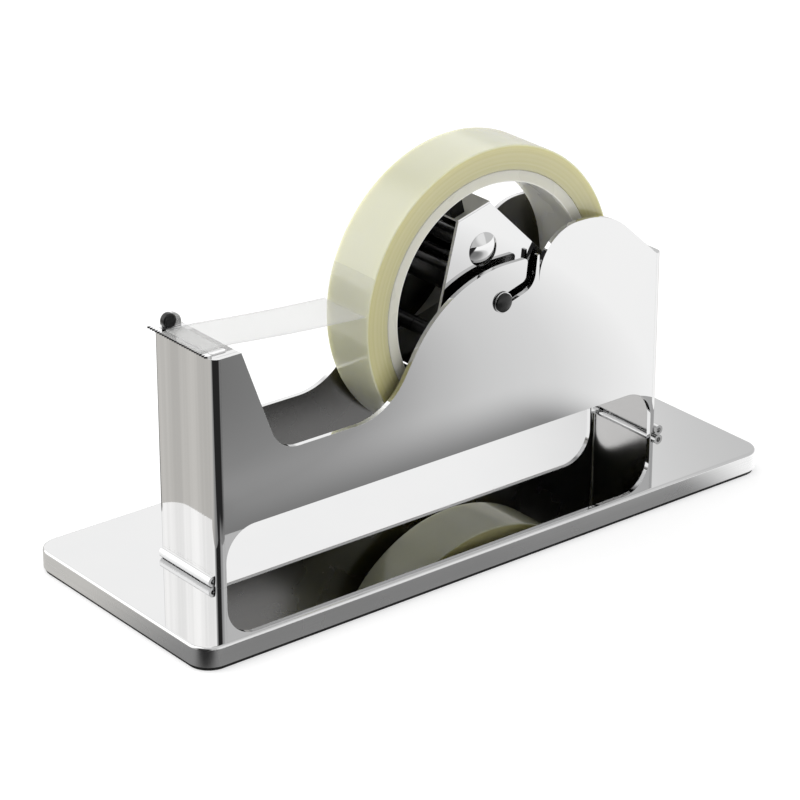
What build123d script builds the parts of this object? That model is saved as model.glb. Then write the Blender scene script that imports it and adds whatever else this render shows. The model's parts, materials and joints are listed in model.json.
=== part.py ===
from build123d import *
import math
import os

# Desk tape dispenser: a polished sheet-metal body on a heavy base plate, with a three-cornered hub that
# carries one roll of clear 19 mm tape, and a serrated cutter on top of the front post.
# Millimetres. +X runs from the cutter to the rear, +Y to the left side, +Z up.
# Origin: centre of the base, on the surface that the dispenser stands on.

# ---- driving dimensions ---------------------------------------------------------------------------
base_thickness = 6.0
base_corner_radius = 7.0
base_edge_radius = 0.9
front_margin = 25.0          # base in front of the front wall
rear_margin = 19.5           # base behind the rear wall
side_margin = 27.5           # base beside each side plate
pad_thickness = 1.2
pad_inset = 0.6

# tape and roll
core_bore_radius = 34.7
core_wall = 3.5
roll_radius = 45.8
tape_width = 19.0
roll_from_front = 56.7       # front wall to the nearest point of the roll
roll_above_base = 14.8
strip_thickness = 0.2
strip_drop = 4.2             # how far the strip falls from the post to the roll

# body
sheet = 1.5
bend_radius = 2.4            # outside radius of the wall bends
window_height = 17.0
window_radius = 10.0
window_leg = 0.4             # width of plate left beside each end of the window
post_height = 69.5
post_top_length = 9.5
post_back_angle = 20.3       # from the vertical
valley_height = 36.3
valley_radius = 10.0
rise_before_axle = 42.1      # foot of the rise to the axle
rise_angle = 58.6            # from the horizontal
rise_foot_radius = 20.0
low_hump_over_axle = 11.3
low_hump_radius = 40.0
high_hump_over_axle = 18.1
high_hump_front_radius = 15.0
high_hump_rear_radius = 25.0
rear_height = 60.8
rear_slope_angle = 42.6      # from the horizontal

foot_bar_radius = 1.6
foot_bar_dimple_radius = 0.8
foot_bar_dimple_depth = 1.0
front_bar_outset = 0.2       # face of the front wall to the centre of its foot bar
rear_bar_outset = 0.8        # face of the rear wall to the centre of its foot bar
base_screw_radius = 0.8
base_screw_head_radius = 1.8
base_screw_head_height = 1.6
base_screw_thread = 2.2      # how far the screw enters the foot bar
base_screw_spacing = 14.0

# axle and its slots
axle_radius = 1.7
slot_leg_run = 10.5          # horizontal run of the slot's resting leg
slot_leg_rise = 3.2
slot_mouth_lean = 1.7        # how far the mouth leans to the rear of the bend
slot_bend_radius = 4.0
slot_lip_radius = 1.2
collar_wall = 1.8
washer_ring = 1.5            # washer beyond the axle, on the radius
washer_thickness = 0.4
tip_wall = 1.2
tip_length = 0.9
tip_dome = 0.5               # height of the rounded end of a tip
tip_cover = 0.6              # end of the axle to the end of its tip

# hub
hub_plate = 1.0
hub_apex_angle = 105.4       # direction of the top corner, from +X
hub_corner_gap = 5.2         # a cut corner of the hub to the core's bore
hub_facet_width = 12.3
hub_pillar_distance = 17.0
hub_pillar_radius = 2.4
hub_screw_radius = 1.2
hub_screw_thread = 6.0
hub_head_radius = 5.2
hub_head_height = 1.6
sleeve_wall = 2.3
sleeve_overhang = 0.5        # sleeve beyond the hub plates
bridge_thickness = 0.6
shoe_width = 5.0             # square foot of the shoe that holds the core

# top of the post
cap_sheet = 1.2
cap_depth = 8.0
insert_thickness = 0.9
insert_pocket = 0.5
insert_rear_margin = 2.4
insert_side_margin = 0.9
insert_corner_radius = 0.8
blade_thickness = 0.6
blade_overhang = 0.8         # teeth in front of the front wall
blade_seat = 1.4             # blade behind the face of the front wall
blade_side_gap = 2.6         # right face of the body to the end of the blade
blade_side_overhang = 1.8    # blade beyond the left face of the body
tooth_pitch = 1.2
tooth_depth = 0.8
blade_pin_radius = 0.4
blade_pin_depth = 3.0
blade_pin_spacing = 8.0
ear_thickness = 1.1
ear_shoulder = 1.2
ear_radius = 3.3
stop_radius = 2.2
stop_offset = 1.7            # stop in front of the middle of the ear
stop_face = 0.6              # closed end of the stop over its pin
guide_pin_radius = 0.7

# ---- clearances -----------------------------------------------------------------------------------
axle_fit = 0.1               # axle in its slots, on the radius
sleeve_fit = 0.05            # axle in the hub sleeve, on the radius
thread_fit = 0.15            # screw shank in a clearance hole, on the radius
side_play = 0.25             # washers and collars beside the side plates
collar_play = 0.25           # collars beside the hub sleeve
hub_side_gap = 0.5           # hub screw heads beside the side plates
hub_tape_gap = 0.4           # hub plates beside the tape
roll_rear_gap = 5.2          # roll to the rear wall, with the axle at the far end of the leg
strip_gap = 0.3              # strip to the roll
rest_gap = 0.1               # strip above the blade and the insert
stop_gap = 0.2               # edge stop above the blade
stop_side_gap = 0.4          # edge stop beside the tape
insert_front_gap = 0.5       # blade to the insert

# ---- places that follow ---------------------------------------------------------------------------
half_tape = tape_width / 2
hub_facet_distance = core_bore_radius - hub_corner_gap
hub_inner = half_tape + hub_tape_gap
hub_outer = hub_inner + hub_plate
inner_half = hub_outer + hub_head_height + hub_side_gap
half_width = inner_half + sheet
body_width = 2 * half_width
sleeve_end = hub_outer + sleeve_overhang
collar_start = inner_half - side_play
collar_end = sleeve_end + collar_play

axle_from_front = roll_from_front + roll_radius
axle_height = roll_above_base + roll_radius
body_length = axle_from_front + slot_leg_run + roll_radius + roll_rear_gap + sheet
base_length = front_margin + body_length + rear_margin
base_width = body_width + 2 * side_margin

base_top = pad_thickness + base_thickness
body_front = -base_length / 2 + front_margin
body_rear = body_front + body_length
post_top = base_top + post_height
axle_x = body_front + axle_from_front
axle_z = base_top + axle_height
front_bar_x = body_front - front_bar_outset
rear_bar_x = body_rear + rear_bar_outset
bar_z = base_top + foot_bar_radius
front_bar_half = half_width - bend_radius
slot_half = axle_radius + axle_fit
collar_radius = axle_radius + collar_wall
washer_radius = axle_radius + washer_ring
tip_radius = axle_radius + tip_wall
sleeve_radius = axle_radius + sleeve_wall
washer_start = half_width + side_play
washer_end = washer_start + washer_thickness
tip_end = washer_end + tip_length
axle_end = tip_end - tip_cover


# ---- helpers --------------------------------------------------------------------------------------
def block(x0, x1, y0, y1, z0, z1):
    size = Box(x1 - x0, y1 - y0, z1 - z0)
    return Pos((x0 + x1) / 2, (y0 + y1) / 2, (z0 + z1) / 2) * size


def rod_y(radius, y0, y1, x=axle_x, z=axle_z):
    return Pos(x, (y0 + y1) / 2, z) * Rot(90, 0, 0) * Cylinder(radius, abs(y1 - y0))


def rod_z(radius, z0, z1, x, y):
    return Pos(x, y, (z0 + z1) / 2) * Cylinder(radius, z1 - z0)


def across(face, y0, y1):
    """A face drawn in X and Z, made solid from y0 to y1."""
    return extrude(Plane.XZ.offset(-y0) * face, amount=-(y1 - y0))


def polygon_xz(points):
    return make_face(Polyline(*points, close=True))


def round_corners(face, corners):
    """Rounds the corners of a flat face that lie at the given points."""
    for (x, z), radius in corners:
        near = face.vertices().sort_by_distance((x, z, 0))[0]
        face = fillet(near, radius)
    return face


def mirrored(part):
    return mirror(part, about=Plane.XZ)


def around_hub(distance, turn):
    angle = math.radians(hub_apex_angle + turn)
    return axle_x + distance * math.cos(angle), axle_z + distance * math.sin(angle)


def dome(radius, height):
    """A domed cap with its flat face at Z 0, cut from a sphere."""
    sphere = (radius ** 2 + height ** 2) / (2 * height)
    ball = Pos(0, 0, height - sphere) * Sphere(sphere)
    return ball & Pos(0, 0, height) * Box(4 * radius, 4 * radius, 2 * height)


def save(name, *solids):
    part = solids[0] if len(solids) == 1 else Compound(children=list(solids))
    export_step(part, os.path.join("parts", name + ".step"))


# ---- base -----------------------------------------------------------------------------------------
def screw_places():
    places = []
    for x in (front_bar_x, rear_bar_x):
        for y in (-base_screw_spacing / 2, base_screw_spacing / 2):
            places.append((x, y))
    return places


def base_screw(x, y, play=0.0):
    head_top = pad_thickness + base_screw_head_height
    head = rod_z(base_screw_head_radius + play, pad_thickness, head_top + play, x, y)
    shank = rod_z(base_screw_radius + play, head_top, base_top + base_screw_thread, x, y)
    return head + shank


def base_plate():
    outline = RectangleRounded(base_length, base_width, base_corner_radius)
    plate = Pos(0, 0, pad_thickness) * extrude(outline, amount=base_thickness)
    top_edges = plate.faces().sort_by(Axis.Z)[-1].edges()
    plate = fillet(top_edges, base_edge_radius)
    for x, y in screw_places():
        plate -= base_screw(x, y, thread_fit)
    return plate


def base_pad():
    outline = RectangleRounded(base_length - 2 * pad_inset, base_width - 2 * pad_inset,
                               base_corner_radius - pad_inset)
    return extrude(outline, amount=pad_thickness)


def foot_bar(x, half_length):
    bar = rod_y(foot_bar_radius, -half_length, half_length, x, bar_z)
    dimple = half_length - foot_bar_dimple_depth
    bar -= rod_y(foot_bar_dimple_radius, -half_length, -dimple, x, bar_z)
    bar -= rod_y(foot_bar_dimple_radius, dimple, half_length, x, bar_z)
    for screw_x, y in screw_places():
        if screw_x == x:
            bar -= rod_z(base_screw_radius, base_top, base_top + base_screw_thread, x, y)
    return bar


# ---- body -----------------------------------------------------------------------------------------
def plate_outline():
    """Side plate in X and Z: post, valley, low hump in front of the slot, high hump behind it."""
    x0 = body_front + bend_radius
    x1 = body_rear - bend_radius
    lean = math.tan(math.radians(post_back_angle))
    rise = math.tan(math.radians(rise_angle))
    fall = math.tan(math.radians(rear_slope_angle))
    valley_z = base_top + valley_height
    low_z = axle_z + low_hump_over_axle
    high_z = axle_z + high_hump_over_axle
    rear_z = base_top + rear_height
    post_back = body_front + post_top_length
    valley_x = post_back + (post_top - valley_z) * lean
    foot_x = axle_x - rise_before_axle
    crest_x = foot_x + (low_z - valley_z) / rise
    slope_top_x = x1 - (high_z - rear_z) / fall
    mouth_x = axle_x + slot_leg_run + slot_mouth_lean + slot_half

    low = polygon_xz([(x0, base_top), (x0, post_top), (post_back, post_top), (valley_x, valley_z),
                      (foot_x, valley_z), (crest_x, low_z), (mouth_x, low_z), (mouth_x, base_top)])
    low = round_corners(low, [((valley_x, valley_z), valley_radius),
                              ((foot_x, valley_z), rise_foot_radius),
                              ((crest_x, low_z), low_hump_radius)])
    high = polygon_xz([(mouth_x, base_top), (mouth_x, high_z), (slope_top_x, high_z),
                       (x1, rear_z), (x1, base_top)])
    high = round_corners(high, [((mouth_x, high_z), high_hump_front_radius),
                                ((slope_top_x, high_z), high_hump_rear_radius)])
    return low + high


def slot_outline():
    """J-shaped slot: a seat, a nearly level leg, and a mouth that opens between the humps."""
    bend = (axle_x + slot_leg_run, axle_z + slot_leg_rise)
    mouth = (bend[0] + slot_mouth_lean, axle_z + high_hump_over_axle)
    path = FilletPolyline((axle_x, axle_z), bend, mouth, radius=slot_bend_radius)
    return trace(path, line_width=2 * slot_half) + Pos(axle_x, axle_z) * Circle(slot_half)


def window_outline():
    x0 = body_front + bend_radius + window_leg
    x1 = body_rear - bend_radius - window_leg
    z1 = base_top + window_height
    hole = polygon_xz([(x0, base_top - 1), (x0, z1), (x1, z1), (x1, base_top - 1)])
    return round_corners(hole, [((x0, z1), window_radius), ((x1, z1), window_radius)])


def side_plate():
    """The right side plate; the left one is its mirror image."""
    outline = plate_outline() - slot_outline() - window_outline()
    low_z = axle_z + low_hump_over_axle
    lip_x = axle_x + slot_leg_run + slot_mouth_lean - slot_half
    outline = round_corners(outline, [((lip_x, low_z), slot_lip_radius)])
    plate = across(outline, -half_width, -inner_half)
    return plate - foot_bar_space()


def foot_bar_space():
    front = rod_y(foot_bar_radius, -front_bar_half, front_bar_half, front_bar_x, bar_z)
    return front + rod_y(foot_bar_radius, -body_width, body_width, rear_bar_x, bar_z)


def body_outside(z0, z1):
    outline = RectangleRounded(body_length, body_width, bend_radius)
    return Pos((body_front + body_rear) / 2, 0, z0) * extrude(outline, amount=z1 - z0)


def body_inside(z0, z1):
    outline = RectangleRounded(body_length - 2 * sheet, body_width - 2 * sheet, bend_radius - sheet)
    return Pos((body_front + body_rear) / 2, 0, z0) * extrude(outline, amount=z1 - z0)


def end_wall(x0, x1, z0, height):
    """The part of the bent wall between x0 and x1, from z0 up, cut out around its foot bar."""
    z1 = base_top + height
    wall = body_outside(z0, z1) - body_inside(z0, z1)
    wall &= block(x0, x1, -half_width, half_width, z0, z1)
    return wall - foot_bar_space()


def rear_wall():
    return end_wall(body_rear - bend_radius, body_rear, bar_z, rear_height)


# ---- top of the post ------------------------------------------------------------------------------
cap_front = body_front + sheet
cap_rear = body_front + post_top_length
insert_front = body_front + blade_seat + insert_front_gap
insert_rear = cap_rear - insert_rear_margin
insert_half = inner_half - ear_thickness - insert_side_margin


def insert_solid(z0, z1):
    length = insert_rear - insert_front
    outline = RectangleRounded(length, 2 * insert_half, insert_corner_radius)
    return Pos((insert_front + insert_rear) / 2, 0, z0) * extrude(outline, amount=z1 - z0)


def top_cap():
    cap = block(cap_front, cap_rear, -inner_half, inner_half, post_top - cap_depth, post_top)
    hollow = block(cap_front + cap_sheet, cap_rear - cap_sheet, -inner_half, inner_half,
                   post_top - cap_depth, post_top - cap_sheet)
    cap = cap - hollow - insert_solid(post_top - insert_pocket, post_top)
    return cap & body_inside(post_top - cap_depth, post_top)


def top_insert():
    bottom = post_top - insert_pocket
    return insert_solid(bottom, bottom + insert_thickness)


def blade_pin_places():
    return [(body_front + sheet / 2, blade_pin_spacing * step) for step in (-1, 0, 1)]


def blade_pin(y, x):
    top = post_top + blade_thickness
    return rod_z(blade_pin_radius, post_top - blade_pin_depth, top, x, y)


def blade_outline():
    """Blade from above: a strip with a row of teeth along its front edge."""
    y0 = -half_width + blade_side_gap
    y1 = half_width + blade_side_overhang
    root = body_front - blade_overhang + tooth_depth
    teeth = max(2, round((y1 - y0) / tooth_pitch))
    pitch = (y1 - y0) / teeth
    points = [(body_front + blade_seat, y1), (body_front + blade_seat, y0), (root, y0)]
    for tooth in range(teeth):
        points.append((root - tooth_depth, y0 + pitch * (tooth + 0.5)))
        points.append((root, y0 + pitch * (tooth + 1)))
    return make_face(Polyline(*points, close=True))


def cutter_blade():
    blade = Pos(0, 0, post_top) * extrude(blade_outline(), amount=blade_thickness)
    for x, y in blade_pin_places():
        blade -= blade_pin(y, x)
    return blade


def front_wall():
    """The front wall between its two bends; the bends reach down to the base beside the foot bar."""
    wall = end_wall(body_front, body_front + bend_radius, base_top, post_height)
    wall -= block(body_front, body_front + bend_radius, -front_bar_half, front_bar_half, base_top, bar_z)
    for x, y in blade_pin_places():
        wall -= blade_pin(y, x)
    return wall


ear_x = cap_front + ear_radius
ear_outer = inner_half
ear_inner = inner_half - ear_thickness
stop_x = ear_x - stop_offset
stop_z = post_top + blade_thickness + stop_gap + stop_radius
stop_inner = half_tape + stop_side_gap


def guide_pin():
    return rod_y(guide_pin_radius, stop_inner + stop_face, ear_outer, stop_x, stop_z)


def guide_ear():
    shoulder = post_top + ear_shoulder
    base = polygon_xz([(ear_x - ear_radius, post_top), (ear_x + ear_radius, post_top),
                       (ear_x + ear_radius, shoulder), (ear_x - ear_radius, shoulder)])
    below = Pos(ear_x, shoulder - ear_radius) * Rectangle(2 * ear_radius, 2 * ear_radius)
    face = base + (Pos(ear_x, shoulder) * Circle(ear_radius) - below)
    return across(face, ear_inner, ear_outer) - guide_pin()


def edge_stop():
    stop = rod_y(stop_radius, stop_inner, ear_inner, stop_x, stop_z)
    rim = stop.faces().sort_by(Axis.Y)[0].edges()
    return fillet(rim, (ear_inner - stop_inner) / 4) - guide_pin()


# ---- axle -----------------------------------------------------------------------------------------
def axle_rod():
    return rod_y(axle_radius, -axle_end, axle_end)


def ring_y(outer, bore, y0, y1):
    return rod_y(outer, y0, y1) - rod_y(bore, y0, y1)


def axle_washer():
    return ring_y(washer_radius, axle_radius, -washer_end, -washer_start)


def axle_collar():
    return ring_y(collar_radius, axle_radius, -collar_start, -collar_end)


def axle_tip():
    """A round-ended cover pushed over the end of the axle."""
    skirt_end = washer_end + tip_length - tip_dome
    tip = rod_y(tip_radius, -skirt_end, -washer_end)
    tip += Pos(axle_x, -skirt_end, axle_z) * Rot(90, 0, 0) * dome(tip_radius, tip_dome)
    return tip - rod_y(axle_radius, -axle_end, 0)


# ---- hub ------------------------------------------------------------------------------------------
def hub_place(turn, distance):
    """A frame on a hub corner: X outwards from the axis, Y along the axle, Z along the facet."""
    return Pos(axle_x, 0, axle_z) * Rot(0, -(hub_apex_angle + turn), 0) * Pos(distance, 0, 0)


def hub_outline():
    corner_height = hub_facet_width * math.sqrt(3) / 2
    reach = hub_facet_distance + corner_height
    points = []
    for turn in (0, 120, 240):
        points.append(around_hub(reach, turn))
    triangle = polygon_xz(points)
    for turn in (0, 120, 240):
        x, z = around_hub(reach, turn)
        corner = Rectangle(2 * corner_height, 4 * hub_facet_width)
        triangle -= Pos(x, z) * Rot(0, 0, hub_apex_angle + turn) * corner
    return triangle


def hub_plate_part():
    """The right hub plate; the left one is its mirror image."""
    plate = across(hub_outline(), -hub_outer, -hub_inner) - rod_y(sleeve_radius, -hub_outer, -hub_inner)
    for turn in (0, 120, 240):
        x, z = around_hub(hub_pillar_distance, turn)
        plate -= rod_y(hub_screw_radius, -hub_outer, -hub_inner, x, z)
    return plate


def hub_sleeve():
    return ring_y(sleeve_radius, axle_radius + sleeve_fit, -sleeve_end, sleeve_end)


def hub_pillar(turn):
    x, z = around_hub(hub_pillar_distance, turn)
    pillar = rod_y(hub_pillar_radius, -hub_inner, hub_inner, x, z)
    thread_end = hub_outer - hub_screw_thread
    for y0, y1 in ((-hub_inner, -thread_end), (thread_end, hub_inner)):
        pillar -= rod_y(hub_screw_radius, y0, y1, x, z)
    return pillar


def hub_screw(turn):
    x, z = around_hub(hub_pillar_distance, turn)
    shank = rod_y(hub_screw_radius, -hub_outer, -hub_outer + hub_screw_thread, x, z)
    head = Pos(x, -hub_outer, z) * Rot(90, 0, 0) * dome(hub_head_radius, hub_head_height)
    return head + shank


def hub_bridge(turn):
    """A flat strip across one corner of the hub, from one hub plate to the other."""
    half = hub_facet_width / 2
    strip = block(0, bridge_thickness, -hub_outer, hub_outer, -half, half)
    return hub_place(turn, hub_facet_distance) * strip


def core_shoe(turn):
    """A block on the middle of a bridge, with its round face against the core."""
    foot = hub_facet_distance + bridge_thickness
    half = shoe_width / 2
    shoe = hub_place(turn, 0) * block(foot, core_bore_radius, -half, half, -half, half)
    return shoe & rod_y(core_bore_radius, -half, half)


# ---- tape -----------------------------------------------------------------------------------------
def tape_core():
    return ring_y(core_bore_radius + core_wall, core_bore_radius, -half_tape, half_tape)


def tape_roll():
    return ring_y(roll_radius, core_bore_radius + core_wall, -half_tape, half_tape)


def tape_strip():
    """The free end of the tape: from the roll, over the post, to the teeth of the cutter."""
    rest_z = post_top + blade_thickness + rest_gap
    end_z = rest_z - strip_drop
    reach = roll_radius + strip_gap
    end_x = axle_x - math.sqrt(reach ** 2 - (end_z - axle_z) ** 2)
    under = [(body_front - blade_overhang, rest_z), (cap_rear, rest_z), (end_x, end_z)]
    over = [(x, z + strip_thickness) for x, z in reversed(under)]
    return across(polygon_xz(under + over), -half_tape, half_tape)


# ---- build and write ------------------------------------------------------------------------------
os.makedirs("parts", exist_ok=True)

save("base_plate", base_plate())
save("base_pad", base_pad())
save("base_screws", *[base_screw(x, y) for x, y in screw_places()])
save("front_foot_bar", foot_bar(front_bar_x, front_bar_half))
save("rear_foot_bar", foot_bar(rear_bar_x, half_width))

right_plate = side_plate()
save("right_side_plate", right_plate)
save("left_side_plate", mirrored(right_plate))
save("front_wall", front_wall())
save("rear_wall", rear_wall())

save("top_cap", top_cap())
save("top_insert", top_insert())
save("cutter_blade", cutter_blade())
save("blade_pins", *[blade_pin(y, x) for x, y in blade_pin_places()])
save("guide_ear", guide_ear())
save("edge_stop", edge_stop())
save("guide_pin", guide_pin())

save("axle_rod", axle_rod())
save("right_axle_washer", axle_washer())
save("left_axle_washer", mirrored(axle_washer()))
save("right_axle_collar", axle_collar())
save("left_axle_collar", mirrored(axle_collar()))
save("right_axle_tip", axle_tip())
save("left_axle_tip", mirrored(axle_tip()))

save("right_hub_plate", hub_plate_part())
save("left_hub_plate", mirrored(hub_plate_part()))
save("hub_sleeve", hub_sleeve())
turns = (0, 120, 240)
for number, turn in enumerate(turns, start=1):
    save(f"hub_pillar_{number}", hub_pillar(turn))
    save(f"hub_bridge_{number}", hub_bridge(turn))
    save(f"core_shoe_{number}", core_shoe(turn))
screws = [hub_screw(turn) for turn in turns]
save("right_hub_screws", *screws)
save("left_hub_screws", *[mirrored(screw) for screw in screws])

save("tape_core", tape_core())
save("tape_roll", tape_roll())
save("tape_strip", tape_strip())
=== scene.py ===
import json
import math

import bmesh
import bpy
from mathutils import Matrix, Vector


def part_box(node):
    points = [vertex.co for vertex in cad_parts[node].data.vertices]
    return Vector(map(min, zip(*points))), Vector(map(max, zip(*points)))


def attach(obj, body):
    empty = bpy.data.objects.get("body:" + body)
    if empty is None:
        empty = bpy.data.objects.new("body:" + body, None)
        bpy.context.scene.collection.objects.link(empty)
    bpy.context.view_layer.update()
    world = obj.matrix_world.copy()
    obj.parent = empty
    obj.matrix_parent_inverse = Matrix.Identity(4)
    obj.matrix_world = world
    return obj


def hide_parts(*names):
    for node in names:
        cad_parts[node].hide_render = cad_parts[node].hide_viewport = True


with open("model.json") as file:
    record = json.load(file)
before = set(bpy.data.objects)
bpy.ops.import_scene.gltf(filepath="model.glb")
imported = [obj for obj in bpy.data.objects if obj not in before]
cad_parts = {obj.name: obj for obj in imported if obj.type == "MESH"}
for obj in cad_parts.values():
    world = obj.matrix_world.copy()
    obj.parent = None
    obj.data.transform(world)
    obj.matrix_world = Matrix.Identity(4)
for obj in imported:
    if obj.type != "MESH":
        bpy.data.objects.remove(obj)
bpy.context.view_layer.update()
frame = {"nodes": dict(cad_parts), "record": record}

MM = 0.001
NODES = frame["nodes"]
BODY_OF = {node: body for body, nodes in frame["record"]["behaviour"]["bodies"].items() for node in nodes}
SLOT_OF = {part["node"]: part["material_slot"] for part in frame["record"]["subparts"]}


# ---- places read from the frame -------------------------------------------------------------------
def corners(node):
    """A node's lowest and highest corners."""
    low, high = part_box(node)
    return Vector(low), Vector(high)


roll_low, roll_high = corners("tape_roll")
core_low, core_high = corners("tape_core")
AXLE = (roll_low + roll_high) / 2
ROLL_RADIUS = (roll_high.x - roll_low.x) / 2
CORE_RADIUS = (core_high.x - core_low.x) / 2

# ---- the strip ------------------------------------------------------------------------------------
FILM = 0.06 * MM             # shown thickness of the film
FILM_LIFT = 0.10 * MM        # film above the roll where it is coming away
PEEL_BEND = 1.4 * MM         # how tightly the film turns away from the roll
PEEL_RISE = 0.2 * MM         # lowest point of the CAD strip to the line where the film comes away
PEEL_EASE = 0.35             # share of that turn where the free strip ends
LAP_LENGTH = 11.0 * MM       # film that still lies on the roll
STRIP_SAG = 0.35 * MM
STRIP_REST = 0.1 * MM        # top of the CAD strip to the middle of the film on the cap
CAP_STEPS = 8
FREE_STEPS = 40
BEND_STEPS = 6
LAP_STEPS = 24
STRIP_COLUMNS = 10

# ---- mesh -----------------------------------------------------------------------------------------
EDGE_SEGMENTS = 3
EDGE_ANGLE = math.radians(32)        # sharper corners than this are rounded
FLAT_ANGLE = math.radians(0.4)       # CAD facets closer than this are one face
WELD = 0.002 * MM
NORMAL_WEIGHT = 50
FACING = 0.95                        # how squarely a flat face looks along a direction
UPRIGHT = 0.3                        # largest Z of the normal of an upright face

# ---- camera ---------------------------------------------------------------------------------------
CAMERA_TURN = math.radians(-38.52)
CAMERA_RISE = math.radians(24.13)
CAMERA_DISTANCE = 0.9487
CAMERA_TARGET = Vector((-15.35, -14.5, 47.3)) * MM
CAMERA_LENS = 149.6
CAMERA_SENSOR = 36.0
CAMERA_NEAR = 0.01


# ---- node helpers ---------------------------------------------------------------------------------
class Graph:
    """A short way to write a shader node tree."""

    def __init__(self, tree):
        self.tree = tree
        tree.nodes.clear()

    def add(self, kind, **values):
        node = self.tree.nodes.new(kind)
        for name, value in values.items():
            setattr(node, name, value)
        return node

    def link(self, source, target):
        self.tree.links.new(source, target)

    def fill(self, socket, value):
        """Links a socket to another one, or sets its own value."""
        if isinstance(value, bpy.types.NodeSocket):
            self.link(value, socket)
        else:
            socket.default_value = value

    def put(self, node, **inputs):
        """Fills a node's inputs by name, with _ for a space."""
        for name, value in inputs.items():
            self.fill(node.inputs[name.replace("_", " ")], value)

    def math(self, operation, *values):
        node = self.add("ShaderNodeMath", operation=operation)
        for socket, value in zip(node.inputs, values):
            self.fill(socket, value)
        return node.outputs[0]

    def vector_math(self, operation, one, two, output="Vector"):
        node = self.add("ShaderNodeVectorMath", operation=operation)
        self.link(one, node.inputs[0])
        node.inputs[1].default_value = two
        return node.outputs[output]

    def split(self, vector):
        node = self.add("ShaderNodeSeparateXYZ")
        self.link(vector, node.inputs[0])
        return node.outputs["X"], node.outputs["Y"], node.outputs["Z"]

    def spread(self, value, low, high, to_low=0.0, to_high=1.0, smooth=True):
        """Maps low..high to to_low..to_high, and holds still outside."""
        node = self.add("ShaderNodeMapRange")
        node.interpolation_type = "SMOOTHSTEP" if smooth else "LINEAR"
        self.put(node, Value=value, From_Min=low, From_Max=high, To_Min=to_low, To_Max=to_high)
        return node.outputs["Result"]

    def vary(self, noise, to_low, to_high):
        """Maps the middle of a noise, where most of it is, to a range."""
        return self.spread(noise, 0.3, 0.7, to_low, to_high)

    def blend(self, factor, one, two):
        node = self.add("ShaderNodeMix", data_type="RGBA")
        factor_socket, one_socket, two_socket = node.inputs[0], node.inputs[6], node.inputs[7]
        self.fill(factor_socket, factor)
        self.fill(one_socket, one)
        self.fill(two_socket, two)
        return node.outputs[2]

    def noise(self, vector, scale, detail=2.0, roughness=0.5):
        node = self.add("ShaderNodeTexNoise")
        self.put(node, Vector=vector, Scale=scale, Detail=detail, Roughness=roughness)
        return node.outputs["Fac"]

    def stretch(self, vector, scale):
        node = self.add("ShaderNodeMapping")
        self.put(node, Vector=vector, Scale=scale)
        return node.outputs["Vector"]

    def lines(self, vector, scale, detail=2.0, roughness=0.5):
        """A noise with its own scale along each axis, drawn out where that is small."""
        return self.noise(self.stretch(vector, scale), 1.0, detail, roughness)

    def rings(self, radius, per_metre, detail):
        node = self.add("ShaderNodeTexNoise", noise_dimensions="1D")
        self.put(node, W=self.math("MULTIPLY", radius, per_metre), Detail=detail, Scale=1.0)
        return node.outputs["Fac"]

    def place(self):
        return self.add("ShaderNodeTexCoord").outputs["Object"]

    def bump(self, height, strength, distance):
        node = self.add("ShaderNodeBump")
        self.put(node, Height=height, Strength=strength, Distance=distance)
        return node.outputs["Normal"]


def grey(value, warm=0.0):
    """A grey, a little redder where warm is above 0."""
    return (value * (1 + warm), value, value * (1 - warm), 1.0)


def principled(name):
    material = bpy.data.materials.new(name)
    material.use_nodes = True
    graph = Graph(material.node_tree)
    shader = graph.add("ShaderNodeBsdfPrincipled")
    output = graph.add("ShaderNodeOutputMaterial")
    graph.link(shader.outputs[0], output.inputs["Surface"])
    return material, graph, shader


def off_axle(graph, place):
    """How far a point is from the axle's line."""
    x, _, z = graph.split(graph.vector_math("SUBTRACT", place, AXLE))
    flat = graph.add("ShaderNodeCombineXYZ")
    graph.put(flat, X=x, Z=z)
    length = graph.add("ShaderNodeVectorMath", operation="LENGTH")
    graph.link(flat.outputs[0], length.inputs[0])
    return length.outputs["Value"]


# ---- materials ------------------------------------------------------------------------------------
def chrome(name, colour=0.60, polish=0.012, haze=0.05):
    """Mirror plating: nearly clean, with faint smears and a slight waviness of the sheet."""
    material, graph, shader = principled(name)
    place = graph.place()
    smear = graph.noise(graph.stretch(place, (1.0, 1.0, 0.35)), scale=55.0, detail=4.0)
    wave = graph.noise(place, scale=14.0, detail=1.0)
    tint = graph.blend(smear, grey(colour, 0.004), grey(colour * 0.97, -0.006))
    rough = graph.spread(smear, 0.45, 0.8, polish, haze)
    level = graph.bump(wave, strength=0.06, distance=0.6 * MM)
    graph.put(shader, Metallic=1.0, Base_Color=tint, Roughness=rough, Normal=level)
    return material


def streaked_chrome(name):
    """Plating over a wall that was polished up and down, with faint upright bands."""
    material, graph, shader = principled(name)
    place = graph.place()
    bands = graph.lines(place, (150.0, 150.0, 1.5), detail=3.0, roughness=0.6)
    fine = graph.lines(place, (1600.0, 1600.0, 12.0))
    tint = graph.blend(graph.spread(bands, 0.35, 0.65), grey(0.55, 0.006), grey(0.66, 0.006))
    level = graph.bump(fine, strength=0.05, distance=0.03 * MM)
    graph.put(shader, Metallic=1.0, Base_Color=tint, Roughness=graph.vary(fine, 0.015, 0.05), Normal=level)
    return material


def shaded_rough_steel(name, dark, light, low, high):
    """The inside of the body: rolled steel that blurs what it reflects, its grey darkened far below
    steel's to paint the shade inside the body.
    """
    material, graph, shader = principled(name)
    place = graph.place()
    cloud = graph.noise(place, scale=45.0, detail=4.0)
    grain = graph.lines(place, (90.0, 900.0, 900.0), detail=3.0)
    tint = graph.blend(cloud, grey(dark, 0.012), grey(light, 0.012))
    level = graph.bump(grain, strength=0.1, distance=0.04 * MM)
    graph.put(shader, Metallic=1.0, Base_Color=tint, Roughness=graph.vary(cloud, low, high), Normal=level)
    return material


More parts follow.
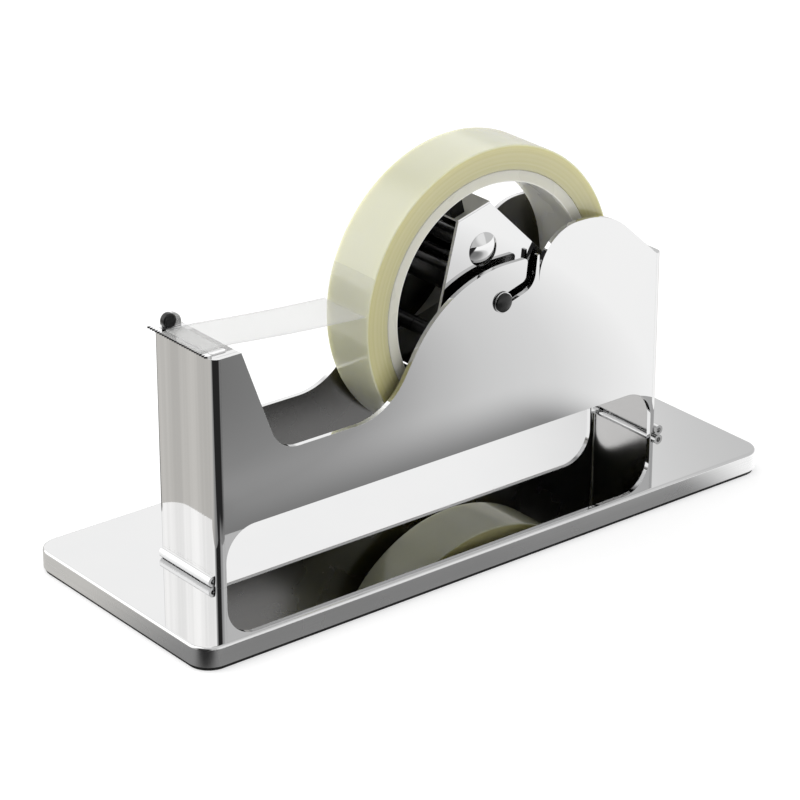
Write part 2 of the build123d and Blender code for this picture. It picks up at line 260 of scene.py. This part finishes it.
def satin_chrome(name):
    """The ground side face of the base plate, with fine lines along the edge."""
    material, graph, shader = principled(name)
    place = graph.place()
    lines = graph.lines(place, (25.0, 25.0, 4000.0), detail=3.0, roughness=0.6)
    cloud = graph.noise(place, scale=30.0, detail=3.0)
    tint = graph.blend(lines, grey(0.60), grey(0.72))
    level = graph.bump(lines, strength=0.25, distance=0.04 * MM)
    graph.put(shader, Metallic=1.0, Base_Color=tint, Roughness=graph.vary(cloud, 0.22, 0.32), Normal=level)
    return material


def turned_steel(name, colour=0.62):
    """Rod, screws and pins, with fine lines that follow one another along the axle."""
    material, graph, shader = principled(name)
    lines = graph.lines(graph.place(), (300.0, 3000.0, 300.0))
    tint = graph.blend(lines, grey(colour * 0.9), grey(colour * 1.05))
    level = graph.bump(lines, strength=0.2, distance=0.03 * MM)
    graph.put(shader, Metallic=1.0, Base_Color=tint, Roughness=graph.vary(lines, 0.16, 0.30), Normal=level)
    return material


def pad_rubber(name):
    material, graph, shader = principled(name)
    grain = graph.noise(graph.place(), scale=2500.0, detail=3.0, roughness=0.7)
    tint = graph.blend(grain, grey(0.006), grey(0.02))
    level = graph.bump(grain, strength=0.5, distance=0.1 * MM)
    graph.put(shader, Base_Color=tint, Roughness=graph.vary(grain, 0.7, 0.9), Normal=level)
    graph.put(shader, Specular_IOR_Level=0.3)
    return material


def plastic(name, dark, light, gloss, shine=0.5):
    """Moulded plastic: a faint cloud in its colour and a fine grain."""
    material, graph, shader = principled(name)
    place = graph.place()
    cloud = graph.noise(place, scale=120.0)
    grain = graph.noise(place, scale=900.0)
    tint = graph.blend(cloud, dark, light)
    rough = graph.vary(grain, gloss * 0.85, gloss * 1.15)
    level = graph.bump(grain, strength=0.12, distance=0.04 * MM)
    graph.put(shader, Base_Color=tint, Roughness=rough, Normal=level, Specular_IOR_Level=shine)
    return material


def film_roll(name):
    """Wound clear film: each wall shows fine rings, and light gets into the layers."""
    material, graph, shader = principled(name)
    place = graph.place()
    radius = off_axle(graph, place)
    depth = graph.spread(radius, CORE_RADIUS, ROLL_RADIUS, smooth=False)
    rings = graph.rings(radius, per_metre=6000.0, detail=3.0)
    bands = graph.rings(radius, per_metre=900.0, detail=2.0)
    cloud = graph.noise(place, scale=25.0)
    wall = graph.blend(bands, (0.48, 0.45, 0.21, 1.0), (0.57, 0.54, 0.31, 1.0))
    face = graph.blend(cloud, (0.50, 0.50, 0.34, 1.0), (0.61, 0.61, 0.47, 1.0))
    tint = graph.blend(graph.spread(depth, 0.90, 1.0), wall, face)
    level = graph.bump(rings, strength=0.25, distance=0.05 * MM)
    graph.put(shader, Base_Color=tint, Roughness=0.22, Normal=level)
    graph.put(shader, Subsurface_Weight=0.7, Subsurface_Radius=(1.0, 0.95, 0.6), Subsurface_Scale=6.0 * MM)
    graph.put(shader, Coat_Weight=0.6, Coat_Roughness=0.08)
    return material


def core_plastic(name):
    """The core: a dull wall, and a whiter bore."""
    material, graph, shader = principled(name)
    place = graph.place()
    cloud = graph.noise(place, scale=60.0)
    wall = graph.blend(cloud, (0.58, 0.57, 0.48, 1.0), (0.66, 0.65, 0.57, 1.0))
    bore = graph.blend(cloud, (0.86, 0.85, 0.76, 1.0), (0.93, 0.92, 0.84, 1.0))
    edge = graph.spread(off_axle(graph, place), CORE_RADIUS - 3.4 * MM, CORE_RADIUS - 3.0 * MM)
    level = graph.bump(cloud, strength=0.05, distance=0.2 * MM)
    rough = graph.vary(cloud, 0.22, 0.32)
    graph.put(shader, Base_Color=graph.blend(edge, bore, wall), Roughness=rough, Normal=level)
    graph.put(shader, Subsurface_Weight=0.6, Subsurface_Radius=(1.0, 1.0, 0.8), Subsurface_Scale=4.0 * MM)
    return material


def clear_film(name):
    """The strip: thin clear film, hardly seen where it lies on the roll."""
    material, graph, shader = principled(name)
    place = graph.place()
    cloud = graph.noise(graph.stretch(place, (1.0, 6.0, 1.0)), scale=40.0)
    tint = graph.blend(cloud, (0.56, 0.56, 0.55, 1.0), (0.64, 0.64, 0.63, 1.0))
    near, far = ROLL_RADIUS + 0.6 * MM, ROLL_RADIUS + 1.6 * MM
    cover = graph.spread(off_axle(graph, place), near, far, 0.07, 0.36)
    level = graph.bump(cloud, strength=0.08, distance=0.4 * MM)
    rough = graph.vary(cloud, 0.12, 0.20)
    graph.put(shader, Base_Color=tint, Roughness=rough, Alpha=cover, Normal=level)
    return material


MATERIALS = {
    "chrome": chrome("chrome"),
    "satin": satin_chrome("satin_chrome"),
    "streaked": streaked_chrome("streaked_chrome"),
    # the two inside steels below are darkened: painted shade inside the body
    "inside": shaded_rough_steel("shaded_rough_inside", 0.17, 0.24, 0.24, 0.32),
    "wall_inside": shaded_rough_steel("shaded_rough_wall_inside", 0.34, 0.42, 0.16, 0.22),
    "steel": turned_steel("turned_steel"),
    "blade_steel": chrome("blade_steel", colour=0.70, polish=0.08, haze=0.16),
    "rubber": pad_rubber("pad_rubber"),
    "white_plastic": plastic("white_plastic", grey(0.90), grey(0.95), gloss=0.30),
    "black_plastic": plastic("black_plastic", grey(0.006), grey(0.010), gloss=0.16, shine=0.25),
    "core_plastic": core_plastic("core_plastic"),
    "tape_film": film_roll("wound_film"),
    "tape_strip_film": clear_film("clear_film"),
}


# ---- mesh helpers ---------------------------------------------------------------------------------
def new_piece(name, mesh, key):
    piece = bpy.data.objects.new(name, mesh)
    bpy.context.scene.collection.objects.link(piece)
    mesh.materials.clear()
    mesh.materials.append(MATERIALS[key])
    for polygon in mesh.polygons:
        polygon.use_smooth = True
    return piece


def settle(piece):
    """Applies a piece's modifiers, so that its own mesh is the final one."""
    graph = bpy.context.evaluated_depsgraph_get()
    final = bpy.data.meshes.new_from_object(piece.evaluated_get(graph))
    piece.modifiers.clear()
    piece.data = final


def stands_for(piece, node):
    """Puts a piece in the place of a CAD node, on its body."""
    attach(piece, BODY_OF[node])
    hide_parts(node)


def clean_copy(node):
    """A CAD node's mesh with its facets joined into whole flat faces."""
    mesh = NODES[node].data.copy()
    for name in ("custom_normal", "sharp_edge", "sharp_face"):
        if name in mesh.attributes:
            mesh.attributes.remove(mesh.attributes[name])
    work = bmesh.new()
    work.from_mesh(mesh)
    bmesh.ops.remove_doubles(work, verts=work.verts, dist=WELD)
    bmesh.ops.dissolve_limit(work, angle_limit=FLAT_ANGLE, verts=work.verts, edges=work.edges,
                             use_dissolve_boundaries=False)
    work.to_mesh(mesh)
    work.free()
    return mesh


def rounded(node, width):
    """A piece that stands for a CAD node, with its sharp edges rounded by the given width."""
    piece = new_piece(node + "_fine", clean_copy(node), SLOT_OF[node])
    bevel = piece.modifiers.new("edges", "BEVEL")
    bevel.width = width
    bevel.segments = EDGE_SEGMENTS
    bevel.limit_method = "ANGLE"
    bevel.angle_limit = EDGE_ANGLE
    bevel.harden_normals = False
    bevel.miter_outer = "MITER_ARC"
    level = piece.modifiers.new("level", "WEIGHTED_NORMAL")
    level.mode = "FACE_AREA"
    level.weight = NORMAL_WEIGHT
    settle(piece)
    stands_for(piece, node)
    return piece


def repaint(piece, key, chosen):
    """Gives another material to the faces whose normals are chosen."""
    materials = piece.data.materials
    materials.append(MATERIALS[key])
    for polygon in piece.data.polygons:
        if chosen(polygon.normal):
            polygon.material_index = len(materials) - 1


# ---- the object -----------------------------------------------------------------------------------
EDGES = {                    # rounding of each node's edges, in millimetres
    "right_side_plate": 0.22, "left_side_plate": 0.22, "front_wall": 0.2, "rear_wall": 0.2,
    "top_cap": 0.2, "top_insert": 0.15, "guide_ear": 0.2, "edge_stop": 0.1, "guide_pin": 0.15,
    "front_foot_bar": 0.2, "rear_foot_bar": 0.2, "right_hub_plate": 0.2, "left_hub_plate": 0.2,
    "hub_bridge_1": 0.12, "hub_bridge_2": 0.12, "hub_bridge_3": 0.12, "cutter_blade": 0.08,
    "core_shoe_1": 0.2, "core_shoe_2": 0.2, "core_shoe_3": 0.2,
    "right_axle_washer": 0.12, "left_axle_washer": 0.12, "right_axle_collar": 0.12,
    "left_axle_collar": 0.12, "right_hub_screws": 0.12, "left_hub_screws": 0.12,
    "hub_sleeve": 0.15, "hub_pillar_1": 0.15, "hub_pillar_2": 0.15, "hub_pillar_3": 0.15,
    "tape_roll": 0.3, "tape_core": 0.25, "base_pad": 0.15,
    "right_axle_tip": 0.1, "left_axle_tip": 0.1, "base_plate": 0.15,
}
AS_IN_CAD = ("axle_rod", "base_screws", "blade_pins")
# Faces turned into the body take the darkened steel, painted shade between the plates and walls.
FLAT_FACES = (               # node, the way its face looks, and that face's material
    ("right_side_plate", (0, 1, 0), "inside"),
    ("left_side_plate", (0, -1, 0), "inside"),
    ("front_wall", (1, 0, 0), "wall_inside"),
    ("rear_wall", (-1, 0, 0), "wall_inside"),
    ("front_wall", (-1, 0, 0), "streaked"),
)


def cad_pieces():
    """Every node but the strip: rounded copies, and a few nodes that only get a new material."""
    pieces = {node: rounded(node, width * MM) for node, width in EDGES.items()}
    repaint(pieces["base_plate"], "satin", lambda normal: abs(normal.z) < UPRIGHT)
    for node, way, key in FLAT_FACES:
        repaint(pieces[node], key, lambda normal, way=Vector(way): normal.dot(way) > FACING)
    for node in AS_IN_CAD:
        for slot in NODES[node].material_slots:
            slot.material = MATERIALS[SLOT_OF[node]]


def on_roll(angle, reach, shift=0.0):
    """A point in X and Z on a circle round the axle, at an angle above the front of the roll."""
    return Vector((AXLE.x - reach * math.cos(angle) - shift, AXLE.z + reach * math.sin(angle)))


def strip_path():
    """The strip in X and Z: level over the cutter and the cap, down to the roll, and up its front."""
    low, high = corners("tape_strip")
    cap_end = corners("top_cap")[1].x
    reach = ROLL_RADIUS + FILM_LIFT
    peel = math.asin((low.z + PEEL_RISE - AXLE.z) / reach)
    turn = PEEL_BEND / reach
    first = peel + turn
    last = peel + LAP_LENGTH / reach
    path = []
    for step in range(CAP_STEPS + 1):
        path.append(Vector((low.x + (cap_end - low.x) * step / CAP_STEPS, high.z - STRIP_REST)))
    start = path[-1]
    end = Vector((on_roll(peel + PEEL_EASE * turn, reach, PEEL_BEND).x, on_roll(peel, reach).y))
    for step in range(1, FREE_STEPS + 1):
        t = step / FREE_STEPS
        path.append(start.lerp(end, t) - Vector((0.0, STRIP_SAG * math.sin(math.pi * t))))
    corner = on_roll(peel, reach)
    lift = on_roll(first, reach)
    for step in range(1, BEND_STEPS + 1):
        t = step / BEND_STEPS
        path.append(end.lerp(corner, t).lerp(corner.lerp(lift, t), t))
    for step in range(1, LAP_STEPS + 1):
        path.append(on_roll(first + (last - first) * step / LAP_STEPS, reach))
    return path


def tape_strip():
    """The free end of the tape as a thin sheet."""
    low, high = corners("tape_strip")
    width = high.y - low.y
    path = strip_path()
    verts = []
    for point in path:
        for column in range(STRIP_COLUMNS + 1):
            verts.append((point.x, low.y + width * column / STRIP_COLUMNS, point.y))
    faces = []
    row = STRIP_COLUMNS + 1
    for step in range(len(path) - 1):
        for column in range(STRIP_COLUMNS):
            a = step * row + column
            faces.append((a, a + 1, a + row + 1, a + row))
    mesh = bpy.data.meshes.new("tape_strip_sheet")
    mesh.from_pydata(verts, [], faces)
    piece = new_piece("tape_strip_sheet", mesh, "tape_strip_film")
    solid = piece.modifiers.new("film", "SOLIDIFY")
    solid.thickness = FILM
    solid.offset = 0.0
    settle(piece)
    stands_for(piece, "tape_strip")


# ---- stage, light and camera ----------------------------------------------------------------------
def level_plane(name, size, z):
    bpy.ops.mesh.primitive_plane_add(size=size, location=(0, 0, z))
    plane = bpy.context.object
    plane.name = name
    return plane


def floor():
    """White paper that also glows a little, so that it stays white around a faint shadow."""
    plane = level_plane("floor", size=8.0, z=0.0)
    material, graph, shader = principled("floor_paper")
    grain = graph.noise(graph.place(), scale=400.0)
    graph.put(shader, Base_Color=graph.blend(grain, grey(0.58), grey(0.60)), Roughness=0.9)
    graph.put(shader, Specular_IOR_Level=0.1, Emission_Color=grey(1.0), Emission_Strength=0.52)
    plane.data.materials.append(material)
    plane.visible_glossy = False


# The glowing card below is painted reflection: only the polished faces see it, and its dark parts are
# painted shade.
CARD_DEPTH = 0.5 * MM        # card below the floor
CARD_CENTRE = Vector((-0.04, -0.19, -CARD_DEPTH))
CARD_STOPS = (               # distance from the card's centre in metres, and brightness there
    (0.07, 0.28), (0.10, 0.38), (0.12, 0.50), (0.13, 0.65), (0.14, 0.80), (0.155, 0.97), (0.18, 1.12),
    (0.21, 1.46), (0.40, 1.55),
)
CARD_BACK = (0.78, 0.765, 0.735, 1.0)
# CARD_CLOSE and CARD_DARK are painted shade in the reflections.
CARD_CLOSE = grey(0.24)      # in front of the base's long side
CARD_DARK = grey(0.03)


def ramp(graph, value, stops):
    """A grey that runs through the given (place, brightness) stops."""
    colour = grey(stops[0][1])
    for (low, _), (high, bright) in zip(stops, stops[1:]):
        colour = graph.blend(graph.spread(value, low, high, smooth=False), colour, grey(bright))
    return colour


def painted_dark_patches(graph, x, y):
    """Painted shade in the reflections, where the card is dark: the front left, a strip at the base's
    corner, and a lane behind the post.
    """
    field = graph.math("MULTIPLY", graph.spread(x, -0.03, -0.07), graph.spread(y, -0.056, -0.075))
    corner = graph.math("MULTIPLY", graph.spread(x, -0.098, -0.108), graph.spread(y, -0.034, -0.044))
    across = graph.math("MULTIPLY", graph.spread(x, -0.094, -0.088), graph.spread(x, -0.03, -0.05))
    lane = graph.math("MULTIPLY", across, graph.spread(y, 0.043, 0.047))
    return graph.math("MAXIMUM", lane, graph.math("MAXIMUM", corner, field))


def painted_reflection_card():
    """A glowing card below the floor that only reflections see: painted reflection of a table top below
    the horizon, going from dark to light, with painted dark patches.
    """
    card = level_plane("painted_reflection_card", size=6.0, z=-CARD_DEPTH)
    material = bpy.data.materials.new("painted_reflection_card")
    material.use_nodes = True
    graph = Graph(material.node_tree)
    place = graph.place()
    x, y, _ = graph.split(place)
    front = ramp(graph, graph.vector_math("DISTANCE", place, CARD_CENTRE, "Value"), CARD_STOPS)
    close = graph.math("MULTIPLY", graph.spread(y, -0.085, -0.05, 0.0, 0.9), graph.spread(x, 0.105, 0.075))
    colour = graph.blend(close, front, CARD_CLOSE)
    colour = graph.blend(graph.spread(y, -0.03, 0.03), colour, CARD_BACK)
    colour = graph.blend(painted_dark_patches(graph, x, y), colour, CARD_DARK)
    glow = graph.add("ShaderNodeEmission")
    graph.put(glow, Color=colour)
    output = graph.add("ShaderNodeOutputMaterial")
    graph.link(glow.outputs[0], output.inputs["Surface"])
    card.data.materials.append(material)
    card.visible_camera = False
    card.visible_diffuse = False
    card.visible_shadow = False
    card.visible_transmission = False


ROOM = grey(0.80)
ROOM_PATCHES = (             # direction, how near to it a patch begins and is full (cosines), brightness
    ((0.35, 0.85, 0.40), 0.80, 0.97, 1.40),
    ((-0.568, 0.714, 0.409), 0.80, 0.93, 2.20),
    ((0.568, -0.714, 0.409), 0.75, 0.93, 1.25),
    ((0.0, 0.0, 1.0), 0.75, 0.95, 1.0),
    ((-0.80, -0.50, 0.30), 0.80, 0.93, 0.04),
)
ROOM_RIGHT = grey(0.86)


def studio():
    """The room that the object reflects: soft patches of light on pale grey."""
    world = bpy.data.worlds.new("studio")
    bpy.context.scene.world = world
    world.use_nodes = True
    graph = Graph(world.node_tree)
    way = graph.add("ShaderNodeTexCoord").outputs["Generated"]
    colour = ROOM
    for direction, begins, full, bright in ROOM_PATCHES:
        near = graph.vector_math("DOT_PRODUCT", way, Vector(direction).normalized(), "Value")
        colour = graph.blend(graph.spread(near, begins, full), colour, grey(bright))
    x, _, _ = graph.split(way)
    colour = graph.blend(graph.spread(x, 0.575, 0.65), colour, ROOM_RIGHT)
    background = graph.add("ShaderNodeBackground")
    graph.put(background, Color=colour)
    output = graph.add("ShaderNodeOutputWorld")
    graph.link(background.outputs[0], output.inputs["Surface"])


def soft_light(name, place, target, size, power):
    data = bpy.data.lights.new(name, "AREA")
    data.shape = "SQUARE"
    data.size = size
    data.energy = power
    light = bpy.data.objects.new(name, data)
    bpy.context.scene.collection.objects.link(light)
    light.location = place
    light.rotation_euler = (Vector(target) - Vector(place)).to_track_quat("-Z", "Y").to_euler()


def camera():
    data = bpy.data.cameras.new("camera")
    data.lens = CAMERA_LENS
    data.sensor_width = CAMERA_SENSOR
    data.clip_start = CAMERA_NEAR
    eye = bpy.data.objects.new("camera", data)
    bpy.context.scene.collection.objects.link(eye)
    level = math.cos(CAMERA_RISE)
    back = Vector((math.sin(CAMERA_TURN) * level, -math.cos(CAMERA_TURN) * level, math.sin(CAMERA_RISE)))
    eye.location = CAMERA_TARGET + back * CAMERA_DISTANCE
    eye.rotation_euler = back.to_track_quat("Z", "Y").to_euler()
    bpy.context.scene.camera = eye


cad_pieces()
tape_strip()
floor()
painted_reflection_card()
studio()
soft_light("key", place=(-0.5, 0.3, 0.9), target=(0, 0, 0.05), size=0.6, power=1.5)
camera()
bpy.context.scene.view_settings.view_transform = "Standard"
